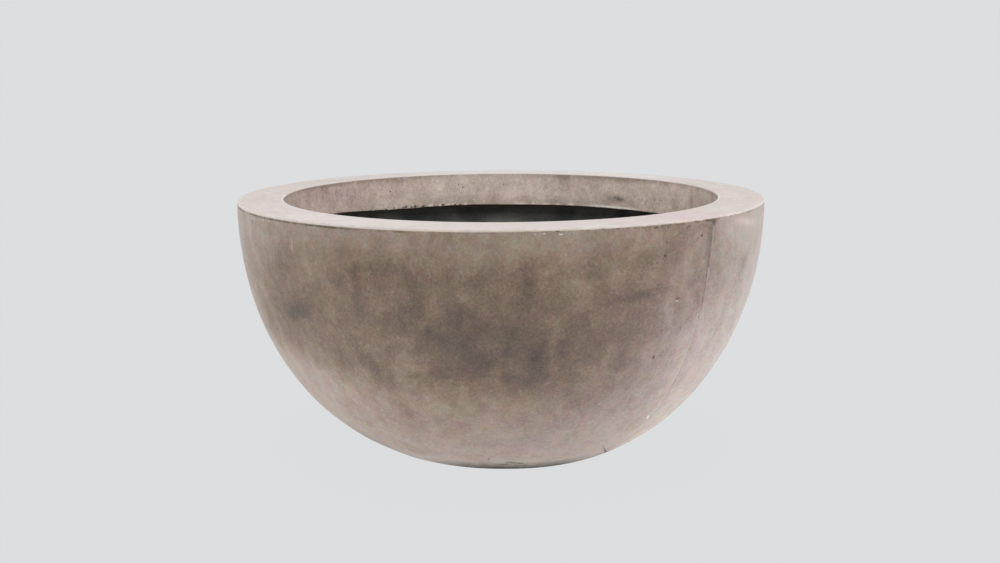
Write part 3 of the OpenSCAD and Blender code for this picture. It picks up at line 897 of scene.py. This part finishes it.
concrete = {
    # grey-brown cement as it leaves the mould, under a brown wash that was wiped on and off
    "washed": [(0.0, "#8a7d73"), (0.26, "#7a6a5c"), (0.5, "#665445"), (0.74, "#4d3f34"), (1.0, "#382c23")],
    "bare": [(0.0, "#8f8480"), (0.5, "#675b54"), (1.0, "#403630")],
    "rosyTint": "#fff7fd",
    # grime, and the painted shade at the foot and in the holes, pores and pits
    "grimeAndShade": "#2a2b21",
    "rimGrimeAndShade": "#42412a",
    "chalkAndHighlight": "#dcd3c8",
    "paste": "#f0e8de",
    "sanded": [(0.0, "#c0b5b0"), (1.0, "#d3cac5")],
    "arrisTint": "#a09282",
    "arrisHighlight": "#efe8e5",
    "smearDark": "#a49a8e",
    "smearPale": "#f0eff0",
    "lip": [(0.0, "#e6d6ca"), (0.1, "#dccbbf"), (1.0, "#99877a")],
    "roughness": 0.68,
    "mottle": 0.045,
    "dabs": 0.015,
    "speckle": 0.005,
    "grain": 0.0022,      # real sand grains are under 1 mm, drawn coarser so that they show at this distance
    "streaks": 0.004,     # the sander's marks, also drawn coarser than they are
    "dirtAndShadeArris": (0.2988, 0.2998),      # radii between which the outer arris is darkened, with dirt from hands and with painted shade
    "highlitArris": (0.2500, 0.2525),       # and those between which the inner one gets a painted highlight
    "relief": 0.0005,     # depth of the cement's unevenness
    # patches of other hues: their size and share
    "hues": [(0.022, 0.11), (0.010, 0.12), (0.005, 0.11)],
    # fine pores, drawn as dots of painted shade: the gap between them, their radius as a share of it, and how
    # rare they are
    "pores": [(0.011, 0.075, 0.78), (0.0055, 0.13, 1.12), (0.0038, 0.2, 1.16)],
    "rimFrom": 277,       # the strokes from this height up in millimetres are drawn on the rim too
    # chalky strokes on the wall, among them painted highlights under the chip and left of the seam low down:
    # angle and height of both ends, half width in millimetres, and strength
    "chalkAndHighlightStrokes": [
        (5.8, 279.6, 6, 279.6, 0.9, 0.5), (7.3, 279.8, 7.6, 279.8, 0.9, 0.6),
        (10.1, 278.7, 10.6, 278.8, 0.9, 1.1), (-53.1, 277.5, -52.8, 277.5, 0.9, 0.7),
        (-50.7, 278.1, -50.4, 278.1, 0.9, 0.8), (-29, 76.3, -28.8, 76, 1.2, 0.6),
        (40.8, 69, 41.4, 65, 2, 0.8), (26.4, 222.2, 28.6, 222.4, 1.5, 0.06),
        (28.6, 222.4, 31.6, 222.4, 1.5, 0.06), (31.6, 222.4, 34.6, 222.8, 1.5, 0.07),
        (35.3, 204.9, 35.6, 204.8, 1.3, 0.9), (-42.7, 268, -42.9, 262, 2.4, 0.08),
        (-42.9, 262, -43, 254, 3.2, 0.17), (-58, 276, -58, 274.5, 0.9, 0.5),
        (-36.4, 280, -36.3, 279.4, 0.9, 0.5), (-35.3, 279.8, -35.2, 279.5, 0.8, 0.4),
        (48.5, 282.2, 49.3, 282.2, 1, 0.4), (52.4, 282.3, 53.8, 282.4, 1, 0.35),
        (29.4, 281.8, 29.7, 281.8, 0.9, 0.25), (40.1, 281.8, 40.5, 281.8, 1.2, 0.35),
        (36.2, 280.2, 36.4, 280.2, 0.8, 0.2),
    ],
    # dark strokes, told in the same way: a crack at the base, crumbs of earth left of it, dots along the seam
    # and pitted places under the rim, whose dots are painted shade in the pits and air holes
    "darkStrokes": [
        (31.6, 34.5, 34, 27.4, 0.7, 0.5), (34, 27.4, 36.8, 20.7, 0.9, 0.7),
        (36.8, 20.7, 42.1, 11.1, 1.3, 0.9), (-2.5, 16.5, -1, 16, 3, 0.72),
        (-0.4, 16.2, 0.8, 16.6, 3.6, 0.85), (1.3, 21.5, 2.4, 21.2, 2.4, 0.65),
        (2.8, 20, 4.1, 19.4, 2.8, 0.75), (5.2, 18.6, 6.1, 18.2, 2.8, 0.9), (-4.6, 7.5, -2.1, 7.5, 5, 1),
        (42.97, 247, 42.92, 244, 0.8, 0.4), (42.85, 228, 42.84, 223, 0.8, 0.4),
        (43.1, 215, 43.05, 210, 0.8, 0.5), (42.9, 236, 42.9, 234.5, 0.7, 0.35),
        (43, 203, 43, 198, 0.8, 0.45), (42.5, 188.6, 42.5, 187.8, 0.9, 0.5),
        (42.8, 183.6, 42.8, 182.4, 0.9, 0.5), (43.4, 263, 43.2, 259, 0.8, 0.3),
        (28.6, 280, 29.1, 280, 1.3, 0.8), (31.6, 278.6, 31.6, 278.6, 1.1, 0.6),
        (36.8, 278.3, 36.8, 278, 1.2, 0.6), (36.3, 276.1, 36.3, 276.1, 1.1, 0.4),
        (38.9, 280.4, 39.1, 280.4, 1.2, 0.7), (39.7, 273.6, 39.7, 273.6, 1.1, 0.5),
        (41.4, 281, 42.2, 281, 1.3, 0.6), (26, 280.6, 26.2, 280.6, 1, 0.5),
        (33.6, 280.6, 34.2, 280.6, 1.1, 0.4), (24.2, 281, 24.3, 281, 0.9, 0.5),
        (41.2, 276.2, 41.2, 276.2, 0.9, 0.4), (37.8, 270.6, 37.8, 270.6, 0.9, 0.4),
        (43.2, 246.2, 43.2, 245, 1.1, 0.3), (43.1, 237.4, 43.1, 236.4, 1.1, 0.3),
        (42.8, 225.6, 42.8, 224, 1.1, 0.3), (42.95, 219.8, 42.9, 218.6, 1, 0.3),
        (42.8, 273.8, 42.8, 273.2, 1.1, 0.4), (42.7, 262, 42.7, 260.8, 1.1, 0.25),
        (9.6, 281.8, 10, 281.8, 1, 0.85), (15.2, 281.7, 15.5, 281.8, 0.9, 0.4),
        (20.7, 281.6, 21, 281.6, 1.1, 0.7), (17.8, 282, 18.3, 282, 0.9, 0.4),
        (34.6, 281.7, 34.9, 281.7, 0.9, 0.3), (32, 281.5, 32.2, 281.5, 1.1, 0.6),
        (30.2, 279.5, 30.3, 279.5, 1, 0.5), (35.2, 281, 35.4, 281, 1.1, 0.5),
        (38.4, 281.8, 38.7, 281.8, 1.1, 0.6), (26.6, 278.6, 26.7, 278.6, 1, 0.4),
        (39.3, 264.4, 39.3, 264.4, 1.2, 0.6), (40.3, 267.4, 40.3, 267.2, 1.6, 0.9),
        (31.2, 252, 31.2, 251.8, 1.4, 0.9),
    ],
}


def placed(kind, rimPart):
    # the strokes of a kind with both ends as points of the wall; the rim takes only those near it
    return [(onWall(*mark[:2]), onWall(*mark[2:4]), *mark[4:]) for mark in concrete[kind]
            if mark[1] > concrete["rimFrom"] or not rimPart]


def sandedFace(tree, place, smear, mottle, dabs, speckle, grain):
    # the rim's top, sanded to the paler paste: noise on (direction, radius) draws the sander's turning
    # streaks, soft steps of the radius darken the outer arris, with dirt from hands and with painted shade,
    # and paint a pale highlight on the inner one at the front, and smears of dirt and of bare paste, both
    # patchy, darken and lighten it
    look = concrete
    flat = addNode(tree, "VectorMath", "MULTIPLY", [place, (1, 1, 0)])
    radius = addNode(tree, "VectorMath", "LENGTH", [flat], "Value")
    direction = addNode(tree, "VectorMath", "NORMALIZE", [flat])
    around = addNode(tree, "VectorMath", "SCALE", {0: direction, "Scale": 0.05})
    x, y, _ = addNode(tree, "SeparateXYZ", {}, [around]).node.outputs
    swirl = addNode(tree, "CombineXYZ", {}, [x, y, radius])
    streak = noise(tree, swirl, look["streaks"], 3.0, 0.6)
    tone = weighted(tree, 0.5, [(streak, 1.4), (mottle, 0.7), (dabs, 0.5), (grain, 0.8)])
    # dirt and painted shade darken the outer arris
    dirtAndShade = addNode(tree, "MapRange", smooth, [radius, *look["dirtAndShadeArris"], 0.0, 0.5])
    # painted highlight: the inner arris is paler at the front
    innerHighlight = addNode(tree, "MapRange", smooth, [radius, *look["highlitArris"], 0.9, 0.0])
    side = addNode(tree, "SeparateXYZ", {}, [direction], "Y")
    front = addNode(tree, "MapRange", smooth, [side, -0.5, 0.1, 1.0, 0.0])
    innerHighlight = weighted(tree, 0.0, [(innerHighlight, front)])
    patchy = weighted(tree, 1.0, [(speckle, 1.2), (dabs, 0.8)])
    darker = weighted(tree, 0.0, [(patchy, smear)])
    paler = weighted(tree, 0.0, [(darker, -1.0)])
    face = addNode(tree, "ValToRGB", {}, {"Fac": tone}, stops=look["sanded"])
    return layered(tree, face, [(dirtAndShade, look["arrisTint"]), (innerHighlight, look["arrisHighlight"]),
                                (darker, look["smearDark"]), (paler, look["smearPale"])])


def concreteMaterial(name, rimPart):
    # cast fibre concrete: matt cement paste with a clouded brown wash, fine sand grain, pores and smudges
    look = concrete
    material, tree, shader, place = newMaterial(name, look["roughness"])
    marks = ["stain", "bare", "rosy", "grimeAndShade", "chalkAndHighlight", "pitted"]
    if rimPart:
        marks += ["lip", "sanded", "smear"]
    painted = {mark: addNode(tree, "Attribute", {"attribute_name": mark}, output="Fac") for mark in marks}
    upright = addNode(tree, "VectorMath", "MULTIPLY", [place, (1, 1, 0.8)])
    mottle = noise(tree, upright, look["mottle"], 3.0, 0.6, 0.6)
    dabs = noise(tree, upright, look["dabs"], 3.0, 0.65, 0.4)
    speckle = noise(tree, place, look["speckle"], 2.0)
    grain = noise(tree, place, look["grain"], 1.0)
    tone = weighted(tree, painted["stain"], [(mottle, 0.4), (dabs, 0.5), (speckle, 0.4), (grain, 0.4)])
    washed = addNode(tree, "ValToRGB", {}, {"Fac": tone}, stops=look["washed"])
    bare = addNode(tree, "ValToRGB", {}, {"Fac": tone}, stops=look["bare"])
    layers = [(weighted(tree, painted["bare"], [(mottle, 0.6), (dabs, 0.5)]), bare)]
    if rimPart:
        # the lip is cast but not washed
        tone = weighted(tree, painted["stain"], [(mottle, 0.6), (dabs, 0.75), (speckle, 0.75), (grain, 0.7)])
        layers.append((painted["lip"], addNode(tree, "ValToRGB", {}, {"Fac": tone}, stops=look["lip"])))
        face = sandedFace(tree, place, painted["smear"], mottle, dabs, speckle, grain)
        layers.append((painted["sanded"], face))
    rosy = weighted(tree, painted["rosy"], [(mottle, 0.8), (dabs, 0.8)])
    layers.append((rosy, look["rosyTint"], "MULTIPLY"))
    # sand grains differ a little in hue, some greenish and some rosy
    for size, share in look["hues"]:
        inputs = {"Vector": place, "Scale": 1 / size, "Detail": 2.0, "Roughness": 0.7}
        hues = addNode(tree, "TexNoise", {}, inputs, "Color")
        layers.append((share * (0.5 if rimPart else 1), hues, "OVERLAY"))
    # pale strokes: chalk, and painted highlights under the chip and beside the seam
    strokes = [(stroke(tree, place, *mark, 0.0), 1.0) for mark in placed("chalkAndHighlightStrokes", rimPart)]
    chalkAndHighlight = weighted(tree, painted["chalkAndHighlight"], [(speckle, 0.3)] + strokes)
    layers.append((weighted(tree, 0.0, [(chalkAndHighlight, 0.6)]), look["paste" if rimPart else "chalkAndHighlight"]))
    grimeAndShade = weighted(tree, painted["grimeAndShade"], [(dabs, 0.3), (speckle, 0.4)])
    dark = [weighted(tree, 0.0, [(grimeAndShade, painted["grimeAndShade"])])]
    # fine pores, drawn as dots of painted shade: a dot in some cells of a cell pattern, more of them where
    # the wall is pitted, and none on the sanded face, whose pores the paste has filled
    for gap, share, needed in look["pores"]:
        cells = addNode(tree, "TexVoronoi", {}, {"Vector": place, "Scale": 1 / gap}).node.outputs
        dot = addNode(tree, "MapRange", smooth, [cells["Distance"], share * 0.4, share, 0.65, 0.0])
        chance = addNode(tree, "SeparateColor", {}, {"Color": cells["Color"]})
        chance = weighted(tree, chance, [(mottle, 1.0), (painted["pitted"], 0.6)])
        pores = weighted(tree, 0.0, [(dot, addNode(tree, "Math", "GREATER_THAN", [chance, needed]))])
        if rimPart:
            rough = addNode(tree, "Math", "SUBTRACT", [1.0, painted["sanded"]])
            pores = weighted(tree, 0.0, [(pores, rough)])
        dark.append(pores)
    # the dark strokes and the lip's pits, the pits' dark being painted shade
    spots = placed("darkStrokes", rimPart)
    if rimPart:
        spots += [(onLip(angle, level), onLip(angle, level), size, 1.0) for angle, level, size in rim["pits"]]
    # grime and the painted shade of pores, pits and air holes darken the colour together
    grimeAndShade = dark[0]
    for spot in dark[1:] + [stroke(tree, place, *mark) for mark in spots]:
        grimeAndShade = addNode(tree, "Math", "MAXIMUM", [grimeAndShade, spot])
    grimeAndShade = addNode(tree, "Math", {"operation": "MULTIPLY", "use_clamp": True}, [grimeAndShade, 0.95])
    layers.append((grimeAndShade, look["rimGrimeAndShade" if rimPart else "grimeAndShade"]))
    relief = weighted(tree, 0.0, [(dabs, 0.5), (speckle, 0.5), (grain, 0.35)])
    fill(tree, shader, {
        "Base Color": layered(tree, washed, layers),
        "Roughness": weighted(tree, look["roughness"], [(mottle, 0.15), (speckle, 0.2)]),
        "Specular IOR Level": weighted(tree, 0.5, [(grimeAndShade, -0.42)]),
        "Normal": addNode(tree, "Bump", {}, {"Height": relief, "Distance": look["relief"], "Strength": 0.5}),
    })
    return material


def laminateMaterial():
    # black waterproof laminate: resin brushed over glass mat, so dull with a faint fibre relief
    material, tree, shader, place = newMaterial("brushedBlackLaminate", 0.6)
    cloudy = noise(tree, place, lining["sags"], 3.0, 0.6, 0.8)
    strands = noise(tree, place, lining["strands"], 3.0, 0.7, 2.5)
    fine = noise(tree, place, lining["weave"], 1.0)
    pooledAndPaintedLight = addNode(tree, "Attribute", {"attribute_name": "pooledAndPaintedLight"}, output="Fac")
    tone = weighted(tree, pooledAndPaintedLight, [(cloudy, 1.2), (strands, 0.7), (fine, 0.4)])
    relief = weighted(tree, 0.0, [(strands, 0.7), (fine, 0.3)])
    fill(tree, shader, {
        "Base Color": addNode(tree, "ValToRGB", {}, {"Fac": tone}, stops=lining["colours"]),
        "Roughness": weighted(tree, 0.6, [(cloudy, 0.3), (strands, 0.2)]),
        "Normal": addNode(tree, "Bump", {}, {"Height": relief, "Distance": lining["depth"], "Strength": 0.6}),
    })
    return material


moulded = {
    "dust": 0.009,             # size of the dusty patches
    "relief": 0.0002,
    # the moulds' spark-eroded grain is about 0.1 mm, drawn coarser so that it shows
    "plastic": ("#1b1b1c", "#303032", 0.42, 0.0008),      # dark and dusty colour, roughness, grain
    "rubber": ("#222222", "#3a3938", 0.62, 0.0006),
}


def mouldedMaterial(name, dark, pale, roughness, grain):
    # moulded black plastic or rubber: even colour with a fine spark-eroded grain and a little dust
    material, tree, shader, place = newMaterial(name, roughness)
    dust = noise(tree, place, moulded["dust"], 3.0, 0.6)
    grit = noise(tree, place, grain, 2.0)
    tone = weighted(tree, 0.4, [(dust, 1.2), (grit, 0.5)])
    fill(tree, shader, {
        "Base Color": addNode(tree, "ValToRGB", {}, {"Fac": tone}, stops=[(0.0, dark), (1.0, pale)]),
        "Roughness": weighted(tree, roughness, [(dust, 0.2), (grit, 0.15)]),
        "Normal": addNode(tree, "Bump", {}, {"Height": grit, "Distance": moulded["relief"], "Strength": 0.4}),
    })
    return material


fitPiece(buildShell(), "planter", "bowl_shell", concreteMaterial("castConcrete", False))
fitPiece(buildRim(), "planter", "rim_collar", concreteMaterial("sandedConcrete", True))
print("bowl and rim built")
fitPiece(buildLining(), "planter", "inner_lining", laminateMaterial())
plastic = mouldedMaterial("mouldedBlackPlastic", *moulded["plastic"])
rubber = mouldedMaterial("blackRubber", *moulded["rubber"])
fitPiece(buildSleeve(), "planter", "drain_sleeve", plastic)
fitPiece(buildPlug(), "plug", "drain_plug", rubber)
for index in (1, 2, 3, 4):
    fitPiece(buildPad(index), "planter", f"foot_pad_{index}", rubber)
print("lining, drain and feet built")


studio = {
    "background": "#dcdedf",     # the photograph's plain ground
    "zenith": 0.9,
    "horizon": 0.40,
    "floorReach": 20,
    "backdrop": (19, -0.5, 19.0, 72),      # radius, foot, top and number of its sides
    # area lights: name, angle, height, distance, size, power and the point that it looks at
    "lights": [
        ("keyLight", 0, 1.75, 1.8, (1.8, 1.2), 23.5, (0, 0, 0.2)),
        ("rightLight", 95, 0.5, 1.4, (1.0, 0.9), 10, (0, 0, 0.2)),
        ("leftLight", -112, 0.5, 1.5, (0.7, 0.9), 9, (0, 0, 0.2)),
        ("leftGlow", -78, 0.002, 0.55, (0.7, 1.1), 1.5, (-0.538, -0.114, 1)),
        ("floorGlow", 0, 0.002, 0.48, (1.2, 0.7), 2.1, (0, -0.48, 1)),
        ("rightGlow", 80, 0.002, 0.55, (0.7, 1.2), 3.4, (0.542, -0.096, 1)),
    ],
    "eye": (-0.00128, -1.27333, 0.42417),
    "eyeTilt": 0.19033,      # radians below the level
    "eyeRoll": 0.00518,
    "focal": 1.09283,        # focal length over the picture's width
}


def glowMaterial(name, colour, shaded):
    # even light of one colour; where it is shaded, it dims a little close to what stands on it
    paint = bpy.data.materials.new(name)
    paint.use_nodes = True
    tree = paint.node_tree
    tree.nodes.remove(tree.nodes["Principled BSDF"])
    strength = 1.0
    if shaded:
        near = addNode(tree, "AmbientOcclusion", {"samples": 8}, {"Distance": 0.12}, "AO")
        strength = addNode(tree, "MapRange", {}, [near, 0.0, 1.0, 0.985, 1.0])
    glow = addNode(tree, "Emission", {}, [colour, strength])
    tree.links.new(glow, tree.nodes["Material Output"].inputs["Surface"])
    return paint


def buildStage():
    # a sky that brightens smoothly from the horizon to the zenith, a flat floor, and a ring of flat sides
    # round it, where side k joins the points at turns k and k + 1 at its foot and its top
    world = bpy.data.worlds.new("studio")
    world.use_nodes = True
    tree = world.node_tree
    rise = addNode(tree, "SeparateXYZ", {}, {"Vector": addNode(tree, "TexCoord", output="Generated")}, "Z")
    light = addNode(tree, "MapRange", smooth, [rise, 0.0, 1.0, studio["horizon"], studio["zenith"]])
    fill(tree, tree.nodes["Background"], {"Strength": light, "Color": (1, 1, 1, 1)})
    bpy.context.scene.world = world
    reach = studio["floorReach"]
    floor = bpy.data.meshes.new("floor")
    floor.from_pydata([(-reach, -reach, 0), (reach, -reach, 0), (reach, reach, 0), (-reach, reach, 0)],
                      [], [(0, 1, 2, 3)])
    radius, low, high, count = studio["backdrop"]
    ring = turned(np.array([[radius, low], [radius, high]]), np.arange(count) * 360 / count).reshape(-1, 3)
    here, following = np.arange(count), np.roll(np.arange(count), -1)
    sides = np.stack([here, following, following + count, here + count], 1)
    wall = bpy.data.meshes.new("backdrop")
    wall.from_pydata(ring.tolist(), [], sides.tolist())
    for mesh in (floor, wall):
        mesh.materials.append(glowMaterial("pale" + mesh.name, studio["background"], mesh is floor))
        stand = bpy.data.objects.new(mesh.name, mesh)
        bpy.context.scene.collection.objects.link(stand)
        if mesh is wall:
            for ray in ("diffuse", "glossy", "transmission", "volume_scatter", "shadow"):
                setattr(stand, "visible_" + ray, False)


def softbox(name, azimuth, height, distance, size, power, aim):
    # a white rectangular area light that looks at a point, unseen by the camera
    data = bpy.data.lights.new(name, "AREA")
    data.shape = "RECTANGLE"
    data.size, data.size_y = size
    data.energy = power
    light = bpy.data.objects.new(name, data)
    turn = math.radians(azimuth)
    light.location = (math.sin(turn) * distance, -math.cos(turn) * distance, height)
    light.rotation_euler = (Vector(aim) - light.location).to_track_quat("-Z", "Y").to_euler()
    light.visible_camera = False
    bpy.context.scene.collection.objects.link(light)


def buildCamera():
    # the view found by fitting the rim's two circles, the outline and the mould seam
    data = bpy.data.cameras.new("camera")
    data.sensor_width = 36
    data.lens = studio["focal"] * data.sensor_width
    data.clip_end = 60
    camera = bpy.data.objects.new("camera", data)
    tilt = Matrix.Rotation(math.pi / 2 - studio["eyeTilt"], 4, "X")
    roll = Matrix.Rotation(-studio["eyeRoll"], 4, "Z")
    camera.matrix_world = Matrix.Translation(studio["eye"]) @ tilt @ roll
    bpy.context.scene.collection.objects.link(camera)
    bpy.context.scene.camera = camera


buildStage()
for light in studio["lights"]:
    softbox(*light)
buildCamera()
bpy.context.scene.view_settings.view_transform = "Standard"
print("studio and camera set")
